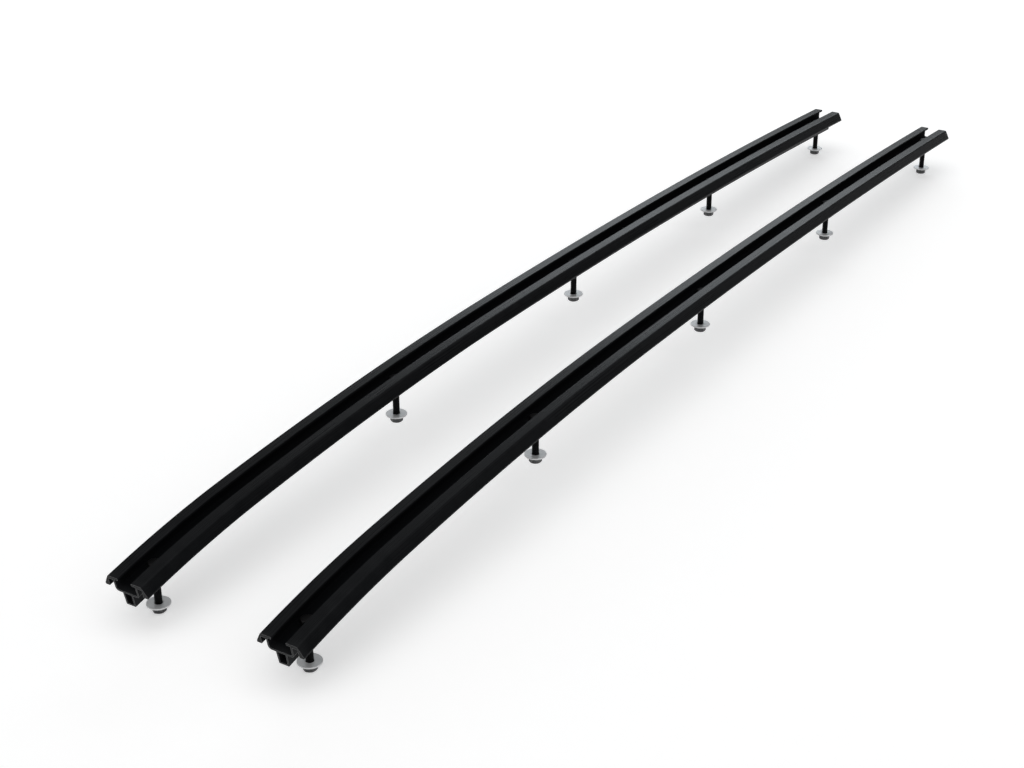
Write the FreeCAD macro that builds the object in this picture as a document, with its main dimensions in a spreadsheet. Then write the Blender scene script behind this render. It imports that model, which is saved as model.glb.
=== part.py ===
"""Pair of roof rack tracks: two curved T-slot extrusions with their roof bolts, washers and nuts.

Frame: X runs along the tracks from the tightly bent front end to the rear end, Y across, Z up.
The origin is midway along and between the tracks, level with the lowest nuts. Millimetres.
"""
import FreeCAD, Part
import Sketcher
import math
import os

vector = FreeCAD.Vector
doc = FreeCAD.newDocument("roof_rack_tracks")

# Driving dimensions
SIZES = {
    # layout along the track, measured level
    "bolt_pitch": 411.5,
    "front_overhang": 43.0,
    "rear_overhang": 43.0,
    "track_spacing": 189.0,
    # bend of the track: three arcs that run into each other, radii at the rail tops
    "front_bend_run": 170.0,
    "middle_bend_run": 500.0,
    "front_bend_radius": 1380.0,
    "middle_bend_radius": 5850.0,
    "rear_bend_radius": 17400.0,
    # section of the extrusion, depths measured down from the rail tops
    "slot_width": 17.5,
    "cavity_width": 26.5,
    "lip_depth": 3.0,
    "lip_round": 0.6,
    "floor_depth": 15.0,
    "floor_wall": 2.2,
    "cavity_wall": 2.0,
    "cavity_round": 2.0,
    "rail_flat_width": 43.0,
    "rail_wall": 4.0,
    "shoulder_radius": 2.5,
    "skirt_width": 55.0,
    "skirt_depth": 13.5,
    "skirt_land": 2.2,
    "skirt_toe": 5.8,
    "edge_round": 0.8,
    "keel_top_width": 13.0,
    "keel_foot_width": 12.2,
    "keel_depth": 32.0,
    "keel_wall": 1.8,
    "keel_round": 1.0,
    # roof bolts and what is on them
    "bolt_diameter": 8.0,
    "bolt_length": 52.0,
    "bolt_hole_clearance": 1.0,
    "bolt_end_chamfer": 0.9,
    "head_flats": 13.0,
    "head_height": 5.3,
    "head_seat_clearance": 0.05,
    "washer_diameter": 25.0,
    "washer_thickness": 1.8,
    "washer_clearance": 0.8,
    "washer_edge": 0.35,
    "nut_height": 8.0,
    "nut_flats": 13.0,
    "nut_clearance": 0.2,
    "nut_countersink": 0.5,
}
BOLT_COUNT = 5
SIDES = {"left": 1, "right": -1}
# turned corners of heads and nuts: their angle in degrees, and where the cut starts and ends per flat width
CORNER_CHAMFER = 30.0
CORNER_START = 0.475
CORNER_END = 0.65
TOLERANCE = 1e-4

sheet = doc.addObject("Spreadsheet::Sheet", "sizes")
for row, (alias, number) in enumerate(SIZES.items(), start=1):
    sheet.set(f"A{row}", alias)
    sheet.set(f"B{row}", str(number))
    sheet.setAlias(f"B{row}", alias)
doc.recompute()


def size(alias):
    """The sheet's present value of one driving dimension."""
    return float(sheet.get(alias))


def measure(formula):
    """The number that a formula of the sheet's dimensions comes to."""
    return float(sheet.evalExpression(formula))


# The bend of the track

RUN = size("front_overhang") + (BOLT_COUNT - 1) * size("bolt_pitch") + size("rear_overhang")
FRONT_END = -RUN / 2
REAR_END = RUN / 2
FRONT_JOIN = FRONT_END + size("front_bend_run")
REAR_JOIN = FRONT_JOIN + size("middle_bend_run")
STATIONS = [FRONT_END + size("front_overhang") + i * size("bolt_pitch") for i in range(BOLT_COUNT)]


class Bend:
    """The line of the rail tops: rear, middle and front arcs, tangent where they join."""

    def __init__(self, crown, top):
        self.middle = (vector(crown, 0, top - size("middle_bend_radius")), size("middle_bend_radius"))
        self.front = self.next_arc(self.middle, FRONT_JOIN, size("front_bend_radius"))
        self.rear = self.next_arc(self.middle, REAR_JOIN, size("rear_bend_radius"))

    @staticmethod
    def on_arc(arc, x, depth=0.0):
        """Point of an arc, or of the surface that lies a depth under it, at one place along X."""
        centre, radius = arc
        return vector(x, 0, centre.z + math.sqrt((radius - depth) ** 2 - (x - centre.x) ** 2))

    def next_arc(self, arc, x, radius):
        """Arc of another radius that leaves the given one at x without a kink."""
        join = self.on_arc(arc, x)
        inward = (arc[0] - join).normalize()
        return (join + inward * radius, radius)

    def arc_at(self, x):
        if x < FRONT_JOIN:
            return self.front
        return self.middle if x < REAR_JOIN else self.rear

    def height(self, x, depth=0.0):
        return self.on_arc(self.arc_at(x), x, depth).z

    def slope(self, x):
        centre = self.arc_at(x)[0]
        point = self.on_arc(self.arc_at(x), x)
        return math.atan2(centre.x - point.x, point.z - centre.z)


HEAD_REACH = size("head_flats") / math.sqrt(3)


def head_seat(bend, x):
    """Height of a bolt head's underside: it hangs plumb on the highest part of the slot's floor below it."""
    floor = max(bend.height(x + reach, size("floor_depth")) for reach in (-HEAD_REACH, 0, HEAD_REACH))
    return floor + size("head_seat_clearance")


def level_crown():
    """Place of the highest point of the bend, so that the bolts at both ends reach equally low."""
    low, high = FRONT_END, REAR_END
    while high - low > TOLERANCE:
        crown = (low + high) / 2
        bend = Bend(crown, 0)
        if head_seat(bend, STATIONS[0]) < head_seat(bend, STATIONS[-1]):
            high = crown
        else:
            low = crown
    return low


CROWN = level_crown()
LOWEST_SEAT = head_seat(Bend(CROWN, 0), STATIONS[0])
bend = Bend(CROWN, size("bolt_length") - LOWEST_SEAT)

# Sketch helpers


def plane(body, role):
    return next(item for item in body.Origin.OriginFeatures if item.Role == role)


def new_sketch(body, name, role, offset=None):
    sketch = body.newObject("Sketcher::SketchObject", name)
    sketch.AttachmentSupport = (plane(body, role), [""])
    sketch.MapMode = "FlatFace"
    if offset:
        sketch.AttachmentOffset = offset
    return sketch


def bind(sketch, constraint, formula):
    """Adds a dimension to a sketch and ties it to the sheet."""
    index = sketch.addConstraint(constraint)
    if formula:
        sketch.setExpression(f"Constraints[{index}]", formula)


def fix_point(sketch, geometry, point, across, up):
    """Places a point of a sketch by two formulas, measured from the sketch's origin."""
    for kind, formula in (("DistanceX", across), ("DistanceY", up)):
        bind(sketch, Sketcher.Constraint(kind, -1, 1, geometry, point, measure(formula)), formula)


def rounded_outline(sketch, corners):
    """Closed outline through corners (across, up, radius or None), each rounded corner kept as a point."""
    at = [vector(measure(across), measure(up), 0) for across, up, radius in corners]
    entry, leave, centres = [], [], []
    for i, (across, up, radius) in enumerate(corners):
        before = (at[i - 1] - at[i]).normalize()
        after = (at[(i + 1) % len(at)] - at[i]).normalize()
        half = before.getAngle(after) / 2
        reach = measure(radius) / math.tan(half) if radius else 0.0
        entry.append(at[i] + before * reach)
        leave.append(at[i] + after * reach)
        middle = (before + after).normalize()
        centres.append(at[i] + middle * (measure(radius) / math.sin(half)) if radius else None)
    count = len(corners)
    lines = [sketch.addGeometry(Part.LineSegment(leave[i], entry[(i + 1) % count])) for i in range(count)]
    for i, (across, up, radius) in enumerate(corners):
        arriving, leaving = lines[i - 1], lines[i]
        if not radius:
            sketch.addConstraint(Sketcher.Constraint("Coincident", arriving, 2, leaving, 1))
            fix_point(sketch, leaving, 1, across, up)
            continue
        bulge = (at[i] - centres[i]).normalize() * measure(radius)
        arc = sketch.addGeometry(Part.Arc(entry[i], centres[i] + bulge, leave[i]))
        turned_left = (at[i] - at[i - 1]).cross(at[(i + 1) % count] - at[i]).z > 0
        first, last = (1, 2) if turned_left else (2, 1)
        sketch.addConstraint(Sketcher.Constraint("Tangent", arriving, 2, arc, first))
        sketch.addConstraint(Sketcher.Constraint("Tangent", arc, last, leaving, 1))
        corner = sketch.addGeometry(Part.Point(at[i]), True)
        fix_point(sketch, corner, 1, across, up)
        sketch.addConstraint(Sketcher.Constraint("PointOnObject", corner, 1, arriving))
        sketch.addConstraint(Sketcher.Constraint("PointOnObject", corner, 1, leaving))
        bind(sketch, Sketcher.Constraint("Radius", arc, measure(radius)), radius)


def both_sides(half):
    """Whole outline from its half on the positive side, listed from bottom to top."""
    mirrored = [(f"-({across})", up, radius) for across, up, radius in reversed(half)]
    return half + mirrored


def circle(sketch, x, y, diameter):
    """Circle of a bound diameter about a fixed centre."""
    item = sketch.addGeometry(Part.Circle(vector(x, y, 0), vector(0, 0, 1), measure(diameter) / 2))
    bind(sketch, Sketcher.Constraint("DistanceX", -1, 1, item, 3, x), None)
    bind(sketch, Sketcher.Constraint("DistanceY", -1, 1, item, 3, y), None)
    bind(sketch, Sketcher.Constraint("Diameter", item, measure(diameter)), diameter)


def hexagon(sketch, flats):
    """Hexagon about the origin with two of its corners along the sketch's first axis."""
    reach = f"{flats} / sqrt(3)"
    corners = [vector(math.cos(math.radians(60 * i)), math.sin(math.radians(60 * i)), 0) for i in range(6)]
    corners = [corner * measure(reach) for corner in corners]
    ring = sketch.addGeometry(Part.Circle(vector(0, 0, 0), vector(0, 0, 1), measure(reach)), True)
    sketch.addConstraint(Sketcher.Constraint("Coincident", ring, 3, -1, 1))
    bind(sketch, Sketcher.Constraint("Radius", ring, measure(reach)), reach)
    lines = [sketch.addGeometry(Part.LineSegment(corners[i], corners[(i + 1) % 6])) for i in range(6)]
    for i, line in enumerate(lines):
        sketch.addConstraint(Sketcher.Constraint("Coincident", lines[i - 1], 2, line, 1))
        sketch.addConstraint(Sketcher.Constraint("PointOnObject", line, 1, ring))
        if i:
            sketch.addConstraint(Sketcher.Constraint("Equal", lines[0], line))
    sketch.addConstraint(Sketcher.Constraint("PointOnObject", lines[0], 1, -1))


def pad(body, sketch, length, reverse=False):
    feature = body.newObject("PartDesign::Pad", f"{sketch.Name}_pad")
    feature.Profile = sketch
    feature.setExpression("Length", length)
    feature.Reversed = reverse
    sketch.Visibility = False
    doc.recompute()


def turned_corners(body, name, flats, ends):
    """Takes the sharp corners off a hexagon, as turning does, at each (height, direction) in ends."""
    sketch = new_sketch(body, name, "XZ_Plane")
    inner = f"{flats} * {CORNER_START}"
    outer = f"{flats} * {CORNER_END}"
    drop = f"({outer} - {inner}) * {math.tan(math.radians(CORNER_CHAMFER)):.6f}"
    for height, direction in ends:
        sign = "-" if direction > 0 else "+"
        rounded_outline(sketch, [
            (inner, height, None),
            (outer, f"{height} {sign} {drop}", None),
            (outer, height, None),
        ])
    groove = body.newObject("PartDesign::Groove", f"{name}_groove")
    groove.Profile = sketch
    groove.ReferenceAxis = (sketch, ["V_Axis"])
    groove.Angle = 360.0
    sketch.Visibility = False
    doc.recompute()


# The extruded tracks

RAIL_TOP = "0"
FLOOR_UNDERSIDE = "-(sizes.floor_depth + sizes.floor_wall)"
SECTION_HALF = [
    ("sizes.keel_foot_width / 2", "-sizes.keel_depth", "sizes.keel_round"),
    ("sizes.keel_top_width / 2", FLOOR_UNDERSIDE, None),
    ("sizes.cavity_width / 2 + sizes.cavity_wall", FLOOR_UNDERSIDE, "sizes.cavity_round + sizes.cavity_wall"),
    ("sizes.cavity_width / 2 + sizes.cavity_wall", "-sizes.rail_wall", "sizes.edge_round"),
    ("sizes.skirt_width / 2 - sizes.skirt_toe", "-sizes.rail_wall", "sizes.edge_round"),
    ("sizes.skirt_width / 2 - sizes.skirt_toe", "-sizes.skirt_depth", "sizes.edge_round"),
    ("sizes.skirt_width / 2", "-sizes.skirt_depth", "sizes.edge_round"),
    ("sizes.skirt_width / 2", "sizes.skirt_land - sizes.skirt_depth", "sizes.edge_round"),
    ("sizes.rail_flat_width / 2", RAIL_TOP, "sizes.shoulder_radius"),
    ("sizes.slot_width / 2", RAIL_TOP, "sizes.lip_round"),
    ("sizes.slot_width / 2", "-sizes.lip_depth", "sizes.lip_round"),
    ("sizes.cavity_width / 2", "-sizes.lip_depth", None),
    ("sizes.cavity_width / 2", "-sizes.floor_depth", "sizes.cavity_round"),
]
KEEL_HOLLOW_HALF = [
    ("sizes.keel_foot_width / 2 - sizes.keel_wall", "sizes.keel_wall - sizes.keel_depth", None),
    ("sizes.keel_top_width / 2 - sizes.keel_wall", FLOOR_UNDERSIDE, None),
]
BOLT_HOLE = "sizes.bolt_diameter + sizes.bolt_hole_clearance"


def bend_path(body):
    """The arcs of the rail tops, joined end to end."""
    sketch = new_sketch(body, "bend_path", "XZ_Plane")
    spans = [
        (bend.front, FRONT_END, FRONT_JOIN, "sizes.front_bend_radius"),
        (bend.middle, FRONT_JOIN, REAR_JOIN, "sizes.middle_bend_radius"),
        (bend.rear, REAR_JOIN, REAR_END, "sizes.rear_bend_radius"),
    ]
    arcs = []
    for arc, start, end, radius in spans:
        stops = [bend.on_arc(arc, x) for x in (start, (start + end) / 2, end)]
        arcs.append(sketch.addGeometry(Part.Arc(*[vector(p.x, p.z, 0) for p in stops])))
        bind(sketch, Sketcher.Constraint("Radius", arcs[-1], measure(radius)), radius)
    crest = vector(bend.middle[0].x, bend.middle[0].z, 0)
    bind(sketch, Sketcher.Constraint("DistanceX", -1, 1, arcs[1], 3, crest.x), None)
    bind(sketch, Sketcher.Constraint("DistanceY", -1, 1, arcs[1], 3, crest.y), None)
    for left, right in ((arcs[0], arcs[1]), (arcs[1], arcs[2])):
        sketch.addConstraint(Sketcher.Constraint("Tangent", left, 1, right, 2))
    for arc, point, x in ((0, 2, FRONT_END), (1, 2, FRONT_JOIN), (1, 1, REAR_JOIN), (2, 1, REAR_END)):
        bind(sketch, Sketcher.Constraint("DistanceX", -1, 1, arcs[arc], point, x), None)
    return sketch


def section(body, name, outlines):
    """The extrusion's section, square to the bend at its front end."""
    tilt = FreeCAD.Rotation(vector(1, 0, 0), -math.degrees(bend.slope(FRONT_END)))
    place = FreeCAD.Placement(vector(0, bend.height(FRONT_END), FRONT_END), tilt)
    sketch = new_sketch(body, name, "YZ_Plane", place)
    for outline in outlines:
        rounded_outline(sketch, outline)
    return sketch


def build_track(side):
    body = doc.addObject("PartDesign::Body", f"track_{side}")
    path = bend_path(body)
    profile = section(body, "section", [both_sides(SECTION_HALF)])
    hollow = section(body, "keel_hollow", [both_sides(KEEL_HOLLOW_HALF)])
    doc.recompute()
    for kind, sketch in (("AdditivePipe", profile), ("SubtractivePipe", hollow)):
        pipe = body.newObject(f"PartDesign::{kind}", f"{sketch.Name}_pipe")
        pipe.Profile = sketch
        pipe.Spine = (path, [f"Edge{i + 1}" for i in range(3)])
        doc.recompute()
    holes = new_sketch(body, "bolt_holes", "XY_Plane")
    for x in STATIONS:
        circle(holes, x, 0, BOLT_HOLE)
    before = body.Shape.Volume
    pocket = body.newObject("PartDesign::Pocket", "bolt_hole_pocket")
    pocket.Profile = holes
    pocket.Type = "ThroughAll"
    pocket.Reversed = True
    doc.recompute()
    if not body.Shape.Volume < before:
        raise RuntimeError(f"the bolt holes cut nothing out of {body.Label}")
    return body


# The fasteners


def build_bolt(name):
    """Hexagon head bolt, its origin at the middle of the head's underside."""
    body = doc.addObject("PartDesign::Body", name)
    head = new_sketch(body, "head", "XY_Plane")
    hexagon(head, "sizes.head_flats")
    pad(body, head, "sizes.head_height")
    turned_corners(body, "head_corners", "sizes.head_flats", [("sizes.head_height", 1)])
    shank = new_sketch(body, "shank", "XY_Plane")
    circle(shank, 0, 0, "sizes.bolt_diameter")
    pad(body, shank, "sizes.bolt_length", reverse=True)
    chamfer_rim(body, "shank_point", -size("bolt_length"), "sizes.bolt_end_chamfer")
    return body


def build_washer(name):
    """Wide plain washer on the XY plane, with its punched edges eased."""
    body = doc.addObject("PartDesign::Body", name)
    ring = new_sketch(body, "ring", "XY_Plane")
    circle(ring, 0, 0, "sizes.washer_diameter")
    circle(ring, 0, 0, "sizes.bolt_diameter + sizes.washer_clearance")
    pad(body, ring, "sizes.washer_thickness")
    chamfer_rim(body, "punched_edge", size("washer_thickness"), "sizes.washer_edge")
    return body


def build_nut(name):
    """Hexagon nut on the XY plane, corners turned at both ends and the bore eased."""
    body = doc.addObject("PartDesign::Body", name)
    block = new_sketch(body, "block", "XY_Plane")
    hexagon(block, "sizes.nut_flats")
    circle(block, 0, 0, "sizes.bolt_diameter + sizes.nut_clearance")
    pad(body, block, "sizes.nut_height")
    bore = size("bolt_diameter") + size("nut_clearance")
    bore_rims = [edge_name(body, height, bore) for height in (0.0, size("nut_height"))]
    chamfer_edges(body, "bore_countersink", bore_rims, "sizes.nut_countersink")
    turned_corners(body, "nut_corners", "sizes.nut_flats", [("sizes.nut_height", 1), ("0", -1)])
    return body


def edge_name(body, height, reach):
    """Name of the widest round edge at one height that is no wider across than reach."""
    found = None
    for i, edge in enumerate(body.Shape.Edges, start=1):
        round_edge = isinstance(edge.Curve, Part.Circle)
        if not round_edge or abs(edge.CenterOfMass.z - height) > TOLERANCE:
            continue
        across = 2 * edge.Curve.Radius
        if across <= reach + TOLERANCE and (found is None or across > found[0]):
            found = (across, f"Edge{i}")
    return found[1]


def chamfer_edges(body, name, edges, width):
    base = body.Tip
    feature = body.newObject("PartDesign::Chamfer", name)
    feature.Base = (base, edges)
    feature.setExpression("Size", width)
    doc.recompute()


def chamfer_rim(body, name, height, width):
    """Chamfers the widest round edge at one height of a body."""
    chamfer_edges(body, name, [edge_name(body, height, math.inf)], width)


# Assembly

pieces = []


def place(body, x, side, z):
    body.Placement = FreeCAD.Placement(vector(x, 0, z), FreeCAD.Rotation())
    sign = "" if SIDES[side] > 0 else "-"
    body.setExpression("Placement.Base.y", f"{sign}sizes.track_spacing / 2")
    pieces.append(body)


for side in SIDES:
    place(build_track(side), 0, side, 0)
    for number, x in enumerate(STATIONS, start=1):
        seat = head_seat(bend, x)
        nut_base = seat - size("bolt_length")
        place(build_bolt(f"bolt_{side}_{number}"), x, side, seat)
        place(build_washer(f"washer_{side}_{number}"), x, side, nut_base + size("nut_height"))
        place(build_nut(f"nut_{side}_{number}"), x, side, nut_base)
doc.recompute()

# Checks and files

for item in doc.Objects:
    if "Invalid" in item.State or "Error" in item.State:
        raise RuntimeError(f"{item.Label} failed: {item.State}")
for body in pieces:
    if body.Shape.isNull() or not body.Shape.isValid() or len(body.Shape.Solids) != 1:
        raise RuntimeError(f"{body.Label} is not one sound solid")

os.makedirs("parts", exist_ok=True)
for body in pieces:
    body.Shape.exportStep(f"parts/{body.Label}.step")
    box = body.Shape.BoundBox
    print(f"{body.Label}: {body.Shape.Volume / 1000:.2f} cm3, z {box.ZMin:.2f} to {box.ZMax:.2f}")
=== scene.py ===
# %% [markdown]
# A pair of roof rack tracks. Each track is a black aluminium extrusion, bent to the line of a vehicle's
# roof, with a T-shaped slot along its top that crossbar feet slide in. Five bolts hang from each slot
# and hold the track to the roof. The solids of the part come first: they fix every size and place, and
# each piece made below stands exactly where its solid stands.

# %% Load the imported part
import math

import bmesh
import bpy
from mathutils import Matrix, Vector


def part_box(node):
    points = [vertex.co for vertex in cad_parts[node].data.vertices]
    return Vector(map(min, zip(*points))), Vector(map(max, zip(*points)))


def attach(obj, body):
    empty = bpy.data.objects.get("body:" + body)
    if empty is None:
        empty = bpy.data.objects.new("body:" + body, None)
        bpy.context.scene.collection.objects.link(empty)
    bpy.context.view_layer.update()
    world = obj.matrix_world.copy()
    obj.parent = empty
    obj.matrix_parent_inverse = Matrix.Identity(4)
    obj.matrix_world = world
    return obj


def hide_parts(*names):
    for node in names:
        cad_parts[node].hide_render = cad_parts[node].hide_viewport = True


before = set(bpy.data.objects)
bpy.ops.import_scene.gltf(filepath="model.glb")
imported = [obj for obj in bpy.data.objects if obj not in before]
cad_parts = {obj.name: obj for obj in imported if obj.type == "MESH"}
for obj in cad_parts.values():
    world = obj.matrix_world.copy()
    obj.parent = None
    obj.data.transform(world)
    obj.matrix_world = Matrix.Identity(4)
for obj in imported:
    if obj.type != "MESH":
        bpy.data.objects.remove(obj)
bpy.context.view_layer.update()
scene = bpy.context.scene
MM = 0.001

# %% [markdown]
# The line of the rail tops is three arcs that run into each other without a kink: a tight one at the
# front, a slack one in the middle and a nearly straight one to the rear. Each arc is known by its centre
# and radius. A point on it is found by its lean, the angle from plumb, which grows from front to rear.
# The middle arc's centre lies plumb under the crown, the highest point. The two others lie on the lines
# from that centre through the joins, because tangent arcs share that line.

# %% The bend of the tracks
FRONT_END, FRONT_JOIN, REAR_JOIN, REAR_END = (x * MM for x in (-866, -696, -196, 866))
FRONT_RADIUS, MIDDLE_RADIUS, REAR_RADIUS = 1.380, 5.850, 17.400
FRONT_STEPS, MIDDLE_STEPS, REAR_STEPS = 18, 40, 64
CROWN = Vector((-0.22351, 0, 0.10123))


def lean_at(x, centre, radius):
    return math.asin((x - centre.x) / radius)


def next_centre(centre, radius, lean, next_radius):
    return centre + Vector((math.sin(lean), 0, math.cos(lean))) * (radius - next_radius)


middle_centre = CROWN - Vector((0, 0, MIDDLE_RADIUS))
front_lean = lean_at(FRONT_JOIN, middle_centre, MIDDLE_RADIUS)
rear_lean = lean_at(REAR_JOIN, middle_centre, MIDDLE_RADIUS)
front_centre = next_centre(middle_centre, MIDDLE_RADIUS, front_lean, FRONT_RADIUS)
rear_centre = next_centre(middle_centre, MIDDLE_RADIUS, rear_lean, REAR_RADIUS)
front_end_lean = lean_at(FRONT_END, front_centre, FRONT_RADIUS)
rear_end_lean = lean_at(REAR_END, rear_centre, REAR_RADIUS)
BEND = [
    (front_centre, FRONT_RADIUS, front_end_lean, front_lean, FRONT_STEPS),
    (middle_centre, MIDDLE_RADIUS, front_lean, rear_lean, MIDDLE_STEPS),
    (rear_centre, REAR_RADIUS, rear_lean, rear_end_lean, REAR_STEPS),
]
for centre, radius, start, end, steps in BEND:
    leans = f"{math.degrees(start):.2f} to {math.degrees(end):.2f} degrees"
    print(f"arc of {radius} m about {tuple(centre)} leans from {leans} in {steps} steps")

# %% [markdown]
# An extrusion is its section, pushed through a die. Half of this one is written down as corners, each
# with how far it lies across from the slot's middle, how deep it lies under the rail tops and how far it
# is rounded, all in millimetres: up the keel, round the slot's box, out to the sloping skirt, over the
# shoulder and down into the slot. The other half is the mirror image. Rounding a corner of a flat outline
# is what bevel does to a vertex, so the corners stay readable here and bevel makes the arcs.

# %% The section of a track
TRACK_SPACING = 189 * MM
SLOT_HALF, CAVITY_HALF, BOX_HALF = 8.75, 13.25, 15.25
FLAT_HALF, TOE_HALF, SKIRT_HALF = 21.5, 21.7, 27.5
LIP_DEPTH, RAIL_WALL, FLOOR_DEPTH, BOX_DEPTH = 3.0, 4.0, 15.0, 17.2
SKIRT_DEPTH, SKIRT_LAND = 13.5, 2.2
KEEL_TOP_HALF, KEEL_FOOT_HALF, KEEL_DEPTH, KEEL_WALL = 6.5, 6.1, 32.0, 1.8
LIP_ROUND, EDGE_ROUND, KEEL_ROUND, CAVITY_ROUND, SHOULDER_ROUND, BOX_ROUND = 0.6, 0.8, 1.0, 2.0, 2.5, 4.0
SECTION_HALF = [
    (KEEL_FOOT_HALF, KEEL_DEPTH, KEEL_ROUND),
    (KEEL_TOP_HALF, BOX_DEPTH, 0),
    (BOX_HALF, BOX_DEPTH, BOX_ROUND),
    (BOX_HALF, RAIL_WALL, EDGE_ROUND),
    (TOE_HALF, RAIL_WALL, EDGE_ROUND),
    (TOE_HALF, SKIRT_DEPTH, EDGE_ROUND),
    (SKIRT_HALF, SKIRT_DEPTH, EDGE_ROUND),
    (SKIRT_HALF, SKIRT_DEPTH - SKIRT_LAND, EDGE_ROUND),
    (FLAT_HALF, 0, SHOULDER_ROUND),
    (SLOT_HALF, 0, LIP_ROUND),
    (SLOT_HALF, LIP_DEPTH, LIP_ROUND),
    (CAVITY_HALF, LIP_DEPTH, 0),
    (CAVITY_HALF, FLOOR_DEPTH, CAVITY_ROUND),
]
KEEL_HOLLOW_HALF = [
    (KEEL_FOOT_HALF - KEEL_WALL, KEEL_DEPTH - KEEL_WALL, 0),
    (KEEL_TOP_HALF - KEEL_WALL, BOX_DEPTH, 0),
]
ROUND_STEPS = 5


def both_sides(half):
    return half + [(-across, depth, rounding) for across, depth, rounding in reversed(half)]


def outline(bm, half, place):
    """Closed outline with its corners rounded, laid where place puts each (across, depth)."""
    corners = both_sides(half)
    points = [place(across * MM, depth * MM) for across, depth, rounding in corners]
    bm.faces.new([bm.verts.new(point) for point in points])
    for i, point in enumerate(points):
        rounding = corners[i][2] * MM
        if rounding:
            before = points[i - 1] - point
            after = points[(i + 1) % len(points)] - point
            reach = rounding / math.tan(before.angle(after) / 2)
            corner = min(bm.verts, key=lambda vert: (vert.co - point).length)
            bmesh.ops.bevel(bm, geom=[corner], affect="VERTICES", offset=reach, offset_type="OFFSET",
                            segments=ROUND_STEPS, profile=0.5, material=-1)


print("corners in the section:", 2 * len(SECTION_HALF))

# %% [markdown]
# Turning the section about the three centres, one after the other, bends the extrusion. That is the
# spin operator: it takes the last ring of edges and turns it in small steps, leaving faces behind.
# The two ends are then filled, as flat as the saw left them. The fill understands that the hollow of the
# keel is a hole, because it works from all the edges of the end at once. A narrow border is inset round
# each end, where a paler line is painted along the edge as a highlight, and edges too short to matter are
# dissolved.

# %% Bend a track
SAWN = 1
CUT_EDGE = 0.45 * MM
WELD = 0.001 * MM
SHORTEST_EDGE = 0.01 * MM


def edges_in(geometry):
    return [item for item in geometry if isinstance(item, bmesh.types.BMEdge)]


def bent_extrusion(offset):
    """One track whose slot runs at a sideways offset, with closed ends."""
    bm = bmesh.new()
    first_centre, first_radius, first_lean = BEND[0][:3]
    upward = Vector((math.sin(first_lean), 0, math.cos(first_lean)))

    def place(across, depth):
        return first_centre + upward * (first_radius - depth) + Vector((0, offset + across, 0))

    outline(bm, SECTION_HALF, place)
    outline(bm, KEEL_HOLLOW_HALF, place)
    bmesh.ops.delete(bm, geom=bm.faces[:], context="FACES_ONLY")
    first = bm.edges[:]
    last = bm.verts[:] + first
    for centre, radius, start, end, steps in BEND:
        spun = bmesh.ops.spin(bm, geom=last, cent=centre, axis=(0, 1, 0), angle=end - start, steps=steps)
        last = spun["geom_last"]
    for edges in (first, edges_in(last)):
        cap = bmesh.ops.triangle_fill(bm, edges=edges, use_beauty=True, use_dissolve=False)
        for item in cap["geom"]:
            if isinstance(item, bmesh.types.BMFace):
                item.material_index = SAWN
    bmesh.ops.remove_doubles(bm, verts=bm.verts[:], dist=WELD)
    bmesh.ops.recalc_face_normals(bm, faces=bm.faces[:])
    sawn_faces = [face for face in bm.faces if face.material_index == SAWN]
    bmesh.ops.inset_region(bm, faces=sawn_faces, thickness=CUT_EDGE, depth=0, use_boundary=True,
                           use_even_offset=True)
    bmesh.ops.dissolve_degenerate(bm, edges=bm.edges[:], dist=SHORTEST_EDGE)
    return bm


def as_object(bm, name):
    mesh = bpy.data.meshes.new(name)
    bm.to_mesh(mesh)
    bm.free()
    made = bpy.data.objects.new(name, mesh)
    scene.collection.objects.link(made)
    return made


SIDES = {"left": TRACK_SPACING / 2, "right": -TRACK_SPACING / 2}
tracks = {side: as_object(bent_extrusion(offset), f"{side}_extrusion") for side, offset in SIDES.items()}
print("faces of one track:", len(tracks["left"].data.polygons))

# %% [markdown]
# The bolts pass straight down through the slot's floor and the keel, so each track is drilled at five
# places. A Boolean modifier subtracts five plumb cylinders in one go. Its result is read back as a plain
# mesh, so that the walls of the holes are there when the points get coordinates of their own.

# %% Drill the tracks
BOLT_COUNT = 5
HOLE_RADIUS = 4.5 * MM
HOLE_SIDES = 40


def node_foot(node):
    """Middle of the underside of a solid's box."""
    low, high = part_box(node)
    return Vector(((low.x + high.x) / 2, (low.y + high.y) / 2, low.z))


def drills(side):
    bm = bmesh.new()
    for i in range(1, BOLT_COUNT + 1):
        foot = node_foot(f"bolt_{side}_{i}")
        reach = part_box(f"bolt_{side}_{i}")[1].z
        middle = Matrix.Translation((foot.x, foot.y, (foot.z + reach) / 2))
        bmesh.ops.create_cone(bm, cap_ends=True, segments=HOLE_SIDES, radius1=HOLE_RADIUS,
                              radius2=HOLE_RADIUS, depth=reach - foot.z, matrix=middle)
    return as_object(bm, f"{side}_drills")


for side, track in tracks.items():
    cutter = drills(side)
    cut = track.modifiers.new("bolt_holes", "BOOLEAN")
    cut.operation = "DIFFERENCE"
    cut.solver = "EXACT"
    cut.object = cutter
    seen = track.evaluated_get(bpy.context.evaluated_depsgraph_get())
    drilled = bpy.data.meshes.new_from_object(seen)
    track.modifiers.clear()
    track.data = drilled
    bpy.data.objects.remove(cutter)
    print(side, "track drilled, faces:", len(drilled.polygons))

# %% [markdown]
# Marks of the die and the saw follow the metal, not the room, so a track carries its own coordinates:
# how far along, how far across and how deep each point lies in the section. A second value says where
# a corner sticks out. Hands, boxes and crossbar feet rub those corners first, and on the sawn ends the
# same value places a painted highlight along the edge. Shading is smooth over the
# rounded corners only: a Weighted Normal modifier lets the large faces decide, so that the flats of
# the rails stay flat and mirror the light evenly up to their edges. The faces inside the slot are marked
# for a duller finish.

# %% Give the tracks their own coordinates
SHARP = math.radians(28)
FULL_CORNER_TURN = math.radians(18)
IN_SLOT = 2
SLOT_MARGIN = 0.2


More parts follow.
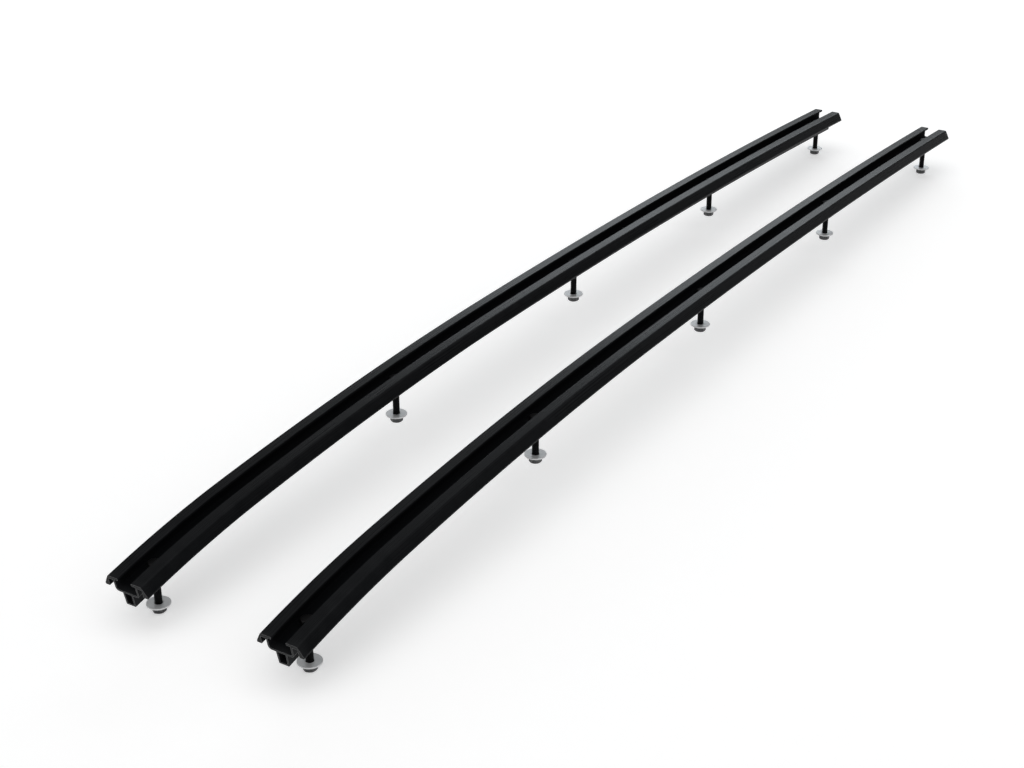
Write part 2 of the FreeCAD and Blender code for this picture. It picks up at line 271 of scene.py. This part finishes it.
def arc_at(x):
    joins_passed = (x >= FRONT_JOIN) + (x >= REAR_JOIN)
    return BEND[joins_passed]


def in_section(point, offset):
    centre, radius = arc_at(point.x)[:2]
    return point.x, point.y - offset, radius - math.hypot(point.x - centre.x, point.z - centre.z)


def lies_in_slot(point, offset):
    across, depth = (length / MM for length in in_section(point, offset)[1:])
    deep_enough = LIP_ROUND + SLOT_MARGIN < depth < FLOOR_DEPTH + SLOT_MARGIN
    return deep_enough and abs(across) < CAVITY_HALF + SLOT_MARGIN


def sticks_out(vert):
    """From 0 to 1, how sharply the surface turns outwards at a point. A sawn end is flat inside."""
    if all(face.material_index == SAWN for face in vert.link_faces):
        return 0
    angles = [edge.calc_face_angle_signed(0) for edge in vert.link_edges]
    return min(1, max(0, max(angles)) / FULL_CORNER_TURN)


def shade_smooth(piece):
    piece.data.shade_smooth()
    piece.data.set_sharp_from_angle(angle=SHARP)
    flats_first = piece.modifiers.new("flats_first", "WEIGHTED_NORMAL")
    flats_first.mode = "FACE_AREA"
    flats_first.keep_sharp = True


def add_point_values(mesh, name, kind, key, values):
    mesh.attributes.new(name, kind, "POINT").data.foreach_set(key, values)


for side, track in tracks.items():
    mesh = track.data
    numbers = [number for vert in mesh.vertices for number in in_section(vert.co, SIDES[side])]
    add_point_values(mesh, "in_section", "FLOAT_VECTOR", "vector", numbers)
    bm = bmesh.new()
    bm.from_mesh(mesh)
    add_point_values(mesh, "rubbed_and_edge_highlight", "FLOAT", "value", [sticks_out(vert) for vert in bm.verts])
    bm.free()
    for face in mesh.polygons:
        if face.material_index != SAWN and lies_in_slot(face.center, SIDES[side]):
            face.material_index = IN_SLOT
    shade_smooth(track)
    print(side, "track has", len(mesh.vertices), "points with coordinates of their own")

# %% [markdown]
# A hexagon head starts as a turned blank with a chamfered rim, and six flats are milled on it. The same
# order works here: spin a short profile into a blank, slice it with six planes and close each slice. The
# chamfer then meets the flats in the curved edges that a real head shows. A plain six-sided prism
# would lack them.

# %% Milled hexagons
FLATS = 6
FLAT_REACH = 6.5 * MM
RIM_START, RIM_END = 6.175 * MM, 8.45 * MM
RIM_ANGLE = math.radians(30)
RIM_DROP = (RIM_END - RIM_START) * math.tan(RIM_ANGLE)
BLANK_STEPS = 72
HEAD_HEIGHT = 5.3 * MM
SLICE_TOLERANCE = 0.0001 * MM


def turned(bm, profile, steps, closed):
    """Turns a profile of (radius, height) points once round Z."""
    verts = [bm.verts.new((radius, 0, height)) for radius, height in profile]
    pairs = list(zip(verts, verts[1:])) + ([(verts[-1], verts[0])] if closed else [])
    edges = [bm.edges.new(pair) for pair in pairs]
    bmesh.ops.spin(bm, geom=verts + edges, cent=(0, 0, 0), axis=(0, 0, 1), angle=2 * math.pi,
                   steps=steps, use_merge=True)
    bmesh.ops.remove_doubles(bm, verts=bm.verts[:], dist=WELD)
    bmesh.ops.recalc_face_normals(bm, faces=bm.faces[:])


def slice_off(bm, point, outward):
    """Takes away what lies beyond a plane and closes the cut."""
    everything = bm.verts[:] + bm.edges[:] + bm.faces[:]
    cut = bmesh.ops.bisect_plane(bm, geom=everything, dist=SLICE_TOLERANCE, plane_co=point,
                                 plane_no=outward, clear_outer=True)
    bmesh.ops.contextual_create(bm, geom=edges_in(cut["geom_cut"]))


def mill_flats(bm):
    for i in range(FLATS):
        angle = (2 * i + 1) * math.pi / FLATS
        outward = Vector((math.cos(angle), math.sin(angle), 0))
        slice_off(bm, outward * FLAT_REACH, outward)
    bmesh.ops.recalc_face_normals(bm, faces=bm.faces[:])


def bolt_head():
    bm = bmesh.new()
    turned(bm, [(0, HEAD_HEIGHT), (RIM_START, HEAD_HEIGHT), (RIM_END, HEAD_HEIGHT - RIM_DROP),
                (RIM_END, 0), (0, 0)], BLANK_STEPS, False)
    mill_flats(bm)
    return bm


print("rim chamfer falls", round(RIM_DROP / MM, 2), "mm")

# %% [markdown]
# A thread is a zigzag that climbs as it turns. Spin can do both at once: besides the angle it takes a
# small shift for each step. A whole turn that climbs by one pitch brings every tooth to the place of the
# next, so the seam closes when doubled points are merged. A few teeth too many are made, the ragged ends
# are sliced flat and capped, and points near the tip are drawn in to a cone, as the lead chamfer of a bolt
# is.

# %% Threaded shanks
PITCH = 1.25 * MM
CREST, ROOT = 4.0 * MM, 3.3 * MM
TOOTH = [(ROOT, 0.125), (CREST, 0.4375), (CREST, 0.5625), (ROOT, 0.875)]
SPARE_TEETH, SPARE_BELOW = 3, 2
SHANK_LENGTH = 52 * MM
SHANK_SINK = 1.0 * MM
POINT_RADIUS, POINT_LENGTH = 3.1 * MM, 0.9 * MM
THREAD_STEPS = 28
THREAD_WELD = 0.01 * MM


def thread():
    bm = bmesh.new()
    teeth = round((SHANK_LENGTH + SHANK_SINK) / PITCH) + SPARE_TEETH
    start = -SHANK_LENGTH - SPARE_BELOW * PITCH
    zigzag = [(radius, start + (i + share) * PITCH) for i in range(teeth) for radius, share in TOOTH]
    verts = [bm.verts.new((radius, 0, height)) for radius, height in zigzag]
    edges = [bm.edges.new(pair) for pair in zip(verts, verts[1:])]
    bmesh.ops.spin(bm, geom=verts + edges, cent=(0, 0, 0), axis=(0, 0, 1), angle=2 * math.pi,
                   dvec=(0, 0, PITCH / THREAD_STEPS), steps=THREAD_STEPS)
    bmesh.ops.remove_doubles(bm, verts=bm.verts[:], dist=THREAD_WELD)
    slice_off(bm, (0, 0, SHANK_SINK), (0, 0, 1))
    slice_off(bm, (0, 0, -SHANK_LENGTH), (0, 0, -1))
    for vert in bm.verts:
        reach = math.hypot(vert.co.x, vert.co.y)
        allowed = POINT_RADIUS + (vert.co.z + SHANK_LENGTH) * (CREST - POINT_RADIUS) / POINT_LENGTH
        if reach > allowed:
            vert.co.x *= allowed / reach
            vert.co.y *= allowed / reach
    bmesh.ops.recalc_face_normals(bm, faces=bm.faces[:])
    return bm


def joined(*shapes):
    """One bmesh that holds all the given ones."""
    mesh = bpy.data.meshes.new("joined")
    whole = bmesh.new()
    for shape in shapes:
        shape.to_mesh(mesh)
        shape.free()
        whole.from_mesh(mesh)
    bpy.data.meshes.remove(mesh)
    return whole


def copies(shape, kind):
    """Ten pieces of one shape, each moved to the place of its own solid."""
    made = []
    for side in SIDES:
        for i in range(1, BOLT_COUNT + 1):
            node = f"{kind}_{side}_{i}"
            bm = shape.copy()
            bmesh.ops.translate(bm, verts=bm.verts[:], vec=node_foot(node))
            piece = as_object(bm, f"{side}_{kind}_{i}")
            shade_smooth(piece)
            made.append((piece, node))
    shape.free()
    return made


bolt_shape = joined(bolt_head(), thread())
bmesh.ops.translate(bolt_shape, verts=bolt_shape.verts[:], vec=(0, 0, SHANK_LENGTH))
print("faces of one bolt:", len(bolt_shape.faces))
bolts = copies(bolt_shape, "bolt")

# %% [markdown]
# A nut is the same milled blank with a bore, chamfered on both faces. Its profile is a closed ring,
# because the bore is open from end to end: its mouth is countersunk so that the bolt finds its way in.

# %% Nuts
NUT_HEIGHT = 8 * MM
BORE, MOUTH = 4.1 * MM, 4.6 * MM


def nut():
    bm = bmesh.new()
    lead = MOUTH - BORE
    turned(bm, [(BORE, lead), (MOUTH, 0), (RIM_START, 0), (RIM_END, RIM_DROP),
                (RIM_END, NUT_HEIGHT - RIM_DROP), (RIM_START, NUT_HEIGHT), (MOUTH, NUT_HEIGHT),
                (BORE, NUT_HEIGHT - lead)], BLANK_STEPS, True)
    mill_flats(bm)
    return bm


nut_shape = nut()
print("faces of one nut:", len(nut_shape.faces))
nuts = copies(nut_shape, "nut")

# %% [markdown]
# The large washers are punched from sheet and tumbled, so that no sharp rim is left. The profile is a
# small rectangle whose four corners are rounded by bevel before it is spun.

# %% Washers
WASHER_RIM, WASHER_BORE = 12.5 * MM, 4.4 * MM
WASHER_THICKNESS = 1.8 * MM
WASHER_ROUND, WASHER_ROUND_STEPS = 0.35 * MM, 3
WASHER_STEPS = 96


def washer():
    bm = bmesh.new()
    corners = [(WASHER_BORE, 0), (WASHER_RIM, 0),
               (WASHER_RIM, WASHER_THICKNESS), (WASHER_BORE, WASHER_THICKNESS)]
    bm.faces.new([bm.verts.new((radius, 0, height)) for radius, height in corners])
    bmesh.ops.bevel(bm, geom=bm.verts[:], affect="VERTICES", offset=WASHER_ROUND, offset_type="OFFSET",
                    segments=WASHER_ROUND_STEPS, profile=0.5, material=-1)
    bmesh.ops.delete(bm, geom=bm.faces[:], context="FACES_ONLY")
    bmesh.ops.spin(bm, geom=bm.verts[:] + bm.edges[:], cent=(0, 0, 0), axis=(0, 0, 1), angle=2 * math.pi,
                   steps=WASHER_STEPS, use_merge=True)
    bmesh.ops.remove_doubles(bm, verts=bm.verts[:], dist=WELD)
    bmesh.ops.recalc_face_normals(bm, faces=bm.faces[:])
    return bm


washer_shape = washer()
print("faces of one washer:", len(washer_shape.faces))
washers = copies(washer_shape, "washer")

# %% [markdown]
# Fasteners show marks that run round their axis, so their points carry the distance from that axis, the
# turn round it and the height above the piece's foot. Materials read these three as a vector.

# %% Give the fasteners their own coordinates


def round_axis(piece, node):
    foot = node_foot(node)
    numbers = []
    for vert in piece.data.vertices:
        arm = vert.co - foot
        numbers += [math.hypot(arm.x, arm.y), math.atan2(arm.y, arm.x), arm.z]
    add_point_values(piece.data, "round_axis", "FLOAT_VECTOR", "vector", numbers)


for piece, node in bolts + nuts + washers:
    round_axis(piece, node)
print("fasteners with coordinates of their own:", len(bolts + nuts + washers))

# %% [markdown]
# Finishes are built from nodes. A small class wraps one socket, so that adding or multiplying two
# values in Python adds the matching Math node, and one method makes any other node: its settings go in
# first, then the values or links of its sockets. A few short functions name the nodes used most.

# %% Node arithmetic


class Field:
    """A value that changes over a surface: one socket of a node tree."""

    def __init__(self, tree, socket=None):
        self.tree = tree
        self.socket = socket

    def node(self, kind, settings=None, sockets=None, output=0):
        made = self.tree.nodes.new(kind)
        for name, value in (settings or {}).items():
            if name == "stops":
                set_stops(made.color_ramp.elements, value)
            else:
                setattr(made, name, value)
        for name, value in (sockets or {}).items():
            if isinstance(value, Field):
                self.tree.links.new(value.socket, made.inputs[name])
            else:
                made.inputs[name].default_value = value
        return Field(self.tree, made.outputs[output] if made.outputs else None)

    def arithmetic(self, operation, first, second):
        return self.node("ShaderNodeMath", {"operation": operation}, {0: first, 1: second})

    def __add__(self, other):
        return self.arithmetic("ADD", self, other)

    def __sub__(self, other):
        return self.arithmetic("SUBTRACT", self, other)

    def __rsub__(self, other):
        return self.arithmetic("SUBTRACT", other, self)

    def __mul__(self, other):
        return self.arithmetic("MULTIPLY", self, other)

    __radd__ = __add__
    __rmul__ = __mul__


def set_stops(elements, stops):
    for place, colour in stops[len(elements):]:
        elements.new(place)
    for element, (place, colour) in zip(elements, stops):
        element.position = place
        element.color = (*colour, 1)


def new_finish(name):
    material = bpy.data.materials.new(name)
    material.use_nodes = True
    material.node_tree.nodes.clear()
    return material, Field(material.node_tree)


def object_place(field):
    return field.node("ShaderNodeTexCoord", None, None, "Object")


def point_value(field, name, output="Vector"):
    return field.node("ShaderNodeAttribute", {"attribute_name": name}, None, output)


def axis_of(field, vector, axis):
    return field.node("ShaderNodeSeparateXYZ", None, {0: vector}, axis)


def noise(field, vector, scale, detail=2.0, roughness=0.5):
    return field.node("ShaderNodeTexNoise", None,
                      {"Vector": vector, "Scale": scale, "Detail": detail, "Roughness": roughness}, "Fac")


def stretched(field, vector, factors):
    return field.node("ShaderNodeVectorMath", {"operation": "MULTIPLY"}, {0: vector, 1: factors}, "Vector")


def ramp(field, amount, stops):
    return field.node("ShaderNodeValToRGB", {"stops": stops}, {"Fac": amount}, "Color")


def blend(field, amount, low, high):
    """Colour between two colours."""
    low, high = (tone if isinstance(tone, Field) else (*tone, 1) for tone in (low, high))
    return field.node("ShaderNodeMix", {"data_type": "RGBA"}, {0: amount, 6: low, 7: high}, 2)


def bump(field, height, strength, distance):
    return field.node("ShaderNodeBump", None,
                      {"Height": height, "Strength": strength, "Distance": distance})


def surface(field, sockets):
    shader = field.node("ShaderNodeBsdfPrincipled", None, sockets)
    field.node("ShaderNodeOutputMaterial", None, {"Surface": shader})


WHITE = (1, 1, 1, 1)
FINE_BUMP, SAW_BUMP = 0.1 * MM, 0.2 * MM
print("node arithmetic ready")

# %% [markdown]
# The tracks are anodised: a thin, hard, dyed layer grown out of the metal. It stays slightly uneven, so
# the sheen is satin and a little streaky along the die's lines, with a fine grain under it. On corners
# that stick out, the layer is polished by handling and looks a shade lighter. Inside the slot, where no
# cloth reaches, road dust keeps it dull, so one function makes the finish twice, with its own roughness
# and shine for the slot. Streaks are noise in the track's own coordinates, squeezed across and drawn out
# along.

# %% Satin black anodising
BLACK_DEEP, BLACK_PALE = (0.0030, 0.0033, 0.0038), (0.0056, 0.0061, 0.0069)
BLACK_RUBBED = (0.020, 0.0207, 0.0220)
COOL_SHINE = (0.93, 0.97, 1.0, 1)
DIE_STRETCH, BAND_STRETCH = (4, 1500, 1500), (1.5, 160, 160)
SATIN_ROUGHNESS, SATIN_SHINE = 0.22, 0.045
DUSTY_ROUGHNESS, DUSTY_SHINE = 0.67, 0.008


def black_anodising(name, roughness, shine):
    material, field = new_finish(name)
    place = point_value(field, "in_section")
    room = object_place(field)
    die_lines = noise(field, stretched(field, place, DIE_STRETCH), 1.0, 3.0, 0.6)
    broad_bands = noise(field, stretched(field, place, BAND_STRETCH), 1.0)
    grain = noise(field, room, 2600)
    clouds = noise(field, room, 9, 3.0)
    handled = point_value(field, "rubbed_and_edge_highlight", "Fac") * noise(field, room, 60, 3.0)
    tone = blend(field, clouds * 0.5 + broad_bands * 0.5, BLACK_DEEP, BLACK_PALE)
    surface(field, {
        "Base Color": blend(field, handled, tone, BLACK_RUBBED),
        "Roughness": roughness + die_lines * 0.08 + clouds * 0.06 - handled * 0.06,
        "Specular IOR Level": shine,
        "Specular Tint": COOL_SHINE,
        "Normal": bump(field, die_lines * 0.7 + grain * 0.3, 0.10, FINE_BUMP),
    })
    return material


anodising = black_anodising("satin_black_anodising", SATIN_ROUGHNESS, SATIN_SHINE)
slot_anodising = black_anodising("dusty_slot_anodising", DUSTY_ROUGHNESS, DUSTY_SHINE)
print("finishes made:", anodising.name, slot_anodising.name)

# %% [markdown]
# The ends were cut by a saw after the bending and coloured with the rest, so they are black too, but
# the cut is rougher and a little paler, with fine arcs left by the blade. A ring pattern about a far
# point gives such arcs. Along the border a paler, metallic line is painted on the sharp edge as a
# highlight.
# The three finishes go into the slots that the faces were marked for.

# %% Sawn ends
SAW_CENTRE = (0.0, 0.25, 0.30)
FLAT_ON_THE_CUT = (0, 1, 1)
CUT_DARK, CUT_PALE = (0.003, 0.0032, 0.0034), (0.010, 0.0104, 0.0108)
# Colour of the painted highlight along the sharp edges of the cut.
PAINTED_EDGE_HIGHLIGHT = (0.200, 0.203, 0.208)


def sawn_end():
    material, field = new_finish("sawn_end_black")
    on_the_cut = stretched(field, point_value(field, "in_section"), FLAT_ON_THE_CUT)
    arm = field.node("ShaderNodeVectorMath", {"operation": "SUBTRACT"},
                     {0: on_the_cut, 1: SAW_CENTRE}, "Vector")
    reach = field.node("ShaderNodeVectorMath", {"operation": "LENGTH"}, {0: arm}, "Value")
    strokes = field.node("ShaderNodeTexNoise", {"noise_dimensions": "1D"},
                         {"W": reach, "Scale": 1800.0, "Detail": 3.0}, "Fac")
    specks = noise(field, object_place(field), 1500)
    # The border along the sharp edge of the cut gets a painted highlight: a paler, metallic line.
    painted_edge_highlight = point_value(field, "rubbed_and_edge_highlight", "Fac") * 0.9
    face = blend(field, strokes * 0.6 + specks * 0.4, CUT_DARK, CUT_PALE)
    surface(field, {
        "Base Color": blend(field, painted_edge_highlight, face, PAINTED_EDGE_HIGHLIGHT),
        "Metallic": painted_edge_highlight,
        "Roughness": 0.42 + strokes * 0.2,
        "Specular IOR Level": 0.15,
        "Normal": bump(field, strokes, 0.35, SAW_BUMP),
    })
    return material


sawn = sawn_end()
for track in tracks.values():
    for finish in (anodising, sawn, slot_anodising):
        track.data.materials.append(finish)
    print(track.name, "finishes:", [finish.name for finish in track.data.materials])

# %% [markdown]
# The bolts are blackened steel. The layer is thin and oily, so it is dark but clearly metal. The crests
# of the thread are painted a greyer tone, partly as wear and partly as a painted highlight, which leaves
# the roots in painted shade. The head is rubbed greyer too, but less. Distance from the axis tells a
# crest from a root.

# %% Blackened steel
OXIDE_DARK, OXIDE_WORN_AND_HIGHLIT = (0.004, 0.004, 0.0045), (0.026, 0.026, 0.027)
HEAD_WEAR = 0.4
SCRATCH_STRETCH = (900, 3, 2500)


def blackened_steel():
    material, field = new_finish("blackened_steel")
    turn = point_value(field, "round_axis")
    # Crests lighter and roots darker: partly wear, partly a painted highlight with painted shade in the
    # roots.
    crest_wear_and_highlight = field.node("ShaderNodeMapRange", {"interpolation_type": "SMOOTHSTEP"},
                       {"Value": axis_of(field, turn, "X"), "From Min": ROOT, "From Max": CREST})
    on_shank = field.arithmetic("LESS_THAN", axis_of(field, turn, "Z"), SHANK_LENGTH)
    wear_and_crest_highlight = crest_wear_and_highlight * on_shank + HEAD_WEAR * (1 - on_shank)
    mottle = noise(field, object_place(field), 420, 4.0, 0.6)
    scratches = noise(field, stretched(field, turn, SCRATCH_STRETCH), 1.0)
    surface(field, {
        "Base Color": ramp(field, wear_and_crest_highlight * 0.6 + mottle * 0.4, [(0.15, OXIDE_DARK), (0.9, OXIDE_WORN_AND_HIGHLIT)]),
        "Metallic": 0.9,
        "Roughness": 0.34 + mottle * 0.22,
        "Normal": bump(field, scratches * 0.5 + mottle * 0.5, 0.15, FINE_BUMP),
    })
    return material


bolt_finish = blackened_steel()
print("finish made:", bolt_finish.name)

# %% [markdown]
# The washers are pale plated sheet, dull rather than bright: a fine rolled grain all one way, faint rings
# where the nut has turned on them and a soft mottle of handling. The plating scatters light like a thin
# powder, so it counts as metal only in part.

# %% Washer steel
PLATING_DULL, PLATING_PALE = (0.60, 0.61, 0.62), (0.88, 0.88, 0.88)
ROLLED_STRETCH, RING_STRETCH = (60, 2600, 2600), (2600, 1.2, 400)


def washer_steel():
    material, field = new_finish("washer_steel")
    room = object_place(field)
    rolled = noise(field, stretched(field, room, ROLLED_STRETCH), 1.0)
    rings = noise(field, stretched(field, point_value(field, "round_axis"), RING_STRETCH), 1.0)
    mottle = noise(field, room, 160, 3.0)
    surface(field, {
        "Base Color": blend(field, mottle * 0.6 + rolled * 0.4, PLATING_DULL, PLATING_PALE),
        "Metallic": 0.35,
        "Roughness": 0.34 + mottle * 0.14 + rings * 0.10,
        "Normal": bump(field, rolled * 0.5 + rings * 0.5, 0.18, FINE_BUMP),
    })
    return material


washer_finish = washer_steel()
print("finish made:", washer_finish.name)

# %% [markdown]
# The nuts are dark steel, phosphated and oiled, much duller than the washers. Such a layer pools a
# little, so its tone and its shine wander over the flats.

# %% Nut steel
PHOSPHATE_DARK, PHOSPHATE_PALE = (0.035, 0.036, 0.038), (0.11, 0.11, 0.112)
FACING_STRETCH = (2200, 1.0, 60)


def nut_steel():
    material, field = new_finish("nut_steel")
    facing = noise(field, stretched(field, point_value(field, "round_axis"), FACING_STRETCH), 1.0)
    pools = noise(field, object_place(field), 300, 3.0, 0.6)
    surface(field, {
        "Base Color": ramp(field, pools, [(0.25, PHOSPHATE_DARK), (0.75, PHOSPHATE_PALE)]),
        "Metallic": 0.9,
        "Roughness": 0.32 + pools * 0.2,
        "Normal": bump(field, facing * 0.6 + pools * 0.4, 0.15, FINE_BUMP),
    })
    return material


nut_finish = nut_steel()
print("finish made:", nut_finish.name)

# %% [markdown]
# Every piece now stands for its solid: it hides it and rides on the same body.

# %% Tie the pieces to the solids
BODY = "root"
FASTENERS = (("bolt", bolts, bolt_finish), ("nut", nuts, nut_finish), ("washer", washers, washer_finish))


def stand_for(piece, node, slot):
    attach(piece, BODY)
    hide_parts(node)


for side, track in tracks.items():
    stand_for(track, f"track_{side}", "track")
for kind, pieces, finish in FASTENERS:
    for piece, node in pieces:
        piece.data.materials.append(finish)
        stand_for(piece, node, kind)
print("pieces tied:", len(tracks) + len(bolts) + len(nuts) + len(washers))

# %% [markdown]
# The tracks stand on a plain white sweep. Its colour gives most of the white. A little light of its own,
# seen by the camera, in reflections and through glass only, lifts it to paper white, and the object's
# soft shadow stays on it.

# %% Floor
FLOOR_HALF = 60.0
FLOOR_DROP = 0.2 * MM
FLOOR_GLOW = 0.38
PAPER_DULL, PAPER_PALE = (0.80, 0.80, 0.80), (0.82, 0.82, 0.82)


def white_floor():
    material, field = new_finish("white_floor")
    fibre = noise(field, object_place(field), 40, 3.0)
    tone = blend(field, fibre, PAPER_DULL, PAPER_PALE)
    paper = field.node("ShaderNodeBsdfDiffuse", None, {"Color": tone})
    rays = {name: field.node("ShaderNodeLightPath", None, None, name)
            for name in ("Is Camera Ray", "Is Glossy Ray", "Is Transmission Ray")}
    seen = rays["Is Camera Ray"] + rays["Is Glossy Ray"] + rays["Is Transmission Ray"]
    glow = field.node("ShaderNodeEmission", None, {"Color": WHITE, "Strength": seen * FLOOR_GLOW})
    both = field.node("ShaderNodeAddShader", None, {0: paper, 1: glow})
    field.node("ShaderNodeOutputMaterial", None, {"Surface": both})
    return material


floor_shape = bmesh.new()
bmesh.ops.create_grid(floor_shape, x_segments=1, y_segments=1, size=FLOOR_HALF,
                      matrix=Matrix.Translation((0, 0, -FLOOR_DROP)))
floor = as_object(floor_shape, "floor")
floor.data.materials.append(white_floor())
print("floor half width:", FLOOR_HALF, "m")

# %% [markdown]
# Two lamps and a dim room make the look. A broad, soft lamp above the camera lights everything evenly. A
# low, wide softbox far off to the rear left mirrors in the rail tops: where the bend tips the metal
# towards it they shine grey, and the tightly bent front end looks past it and stays black. The room is
# darkest along its walls, which the sloping sides of the tracks mirror, and grows lighter towards the
# ceiling.

# %% Lights
PART_MIDDLE = (0, 0, 0.08)
BROAD_STRENGTH, BROAD_PLACE, BROAD_ANGLE = 1.35, (-1.5, -1.0, 3.2), math.radians(110)
SOFTBOX_WATTS, SOFTBOX_PLACE = 38.0, (3.62, 1.70, 1.44)
SOFTBOX_WIDTH, SOFTBOX_HEIGHT = 3.6, 0.91
SOFTBOX_TINT = (0.89, 0.955, 1.0)
ROOM_LOW, ROOM_RISE = 0.14, 0.33


def aim(lamp, target):
    lamp.rotation_euler = (Vector(target) - lamp.location).to_track_quat("-Z", "Y").to_euler()


def new_lamp(name, kind, energy, location, target):
    data = bpy.data.lights.new(name, kind)
    data.energy = energy
    lamp = bpy.data.objects.new(name, data)
    scene.collection.objects.link(lamp)
    lamp.location = location
    aim(lamp, target)
    return data


def dim_room():
    world = bpy.data.worlds.new("dim_room")
    world.use_nodes = True
    world.node_tree.nodes.clear()
    field = Field(world.node_tree)
    direction = field.node("ShaderNodeTexCoord", None, None, "Generated")
    height = field.arithmetic("MAXIMUM", axis_of(field, direction, "Z"), 0.0)
    walls = field.node("ShaderNodeBackground", None,
                       {"Color": WHITE, "Strength": ROOM_LOW + height * ROOM_RISE})
    field.node("ShaderNodeOutputWorld", None, {"Surface": walls})
    return world


broad_lamp = new_lamp("broad_lamp", "SUN", BROAD_STRENGTH, BROAD_PLACE, PART_MIDDLE)
broad_lamp.angle = BROAD_ANGLE
softbox = new_lamp("rear_softbox", "AREA", SOFTBOX_WATTS, SOFTBOX_PLACE, PART_MIDDLE)
softbox.shape = "RECTANGLE"
softbox.size, softbox.size_y = SOFTBOX_WIDTH, SOFTBOX_HEIGHT
softbox.color = SOFTBOX_TINT
scene.world = dim_room()
scene.view_settings.view_transform = "Standard"

# %% [markdown]
# The camera stands in front of the bent ends, to the right and about a metre up, and looks along the
# tracks. Its place and the way it is turned come from fitting the solids' ends, bolts and edges to the
# picture. The three directions of its frame are written as columns, and the lens follows from the
# picture's width of 1024 pixels.

# %% Camera
PICTURE_WIDTH = 1024
FOCAL_PIXELS = 1761.72
SENSOR = 36.0
EYE = Vector((-1.89026, -0.98480, 0.97752))
RIGHT = Vector((0.527384, -0.849622, -0.002784))
UP = Vector((0.376681, 0.230877, 0.897111))
BACK = Vector((-0.761562, -0.474171, 0.441797))
camera_data = bpy.data.cameras.new("camera")
camera_data.sensor_width = SENSOR
camera_data.lens = FOCAL_PIXELS * SENSOR / PICTURE_WIDTH
camera = bpy.data.objects.new("camera", camera_data)
scene.collection.objects.link(camera)
turned_to = Matrix((RIGHT, UP, BACK)).transposed().to_4x4()
camera.matrix_world = Matrix.Translation(EYE) @ turned_to
scene.camera = camera
print("lens:", round(camera_data.lens, 2), "mm")
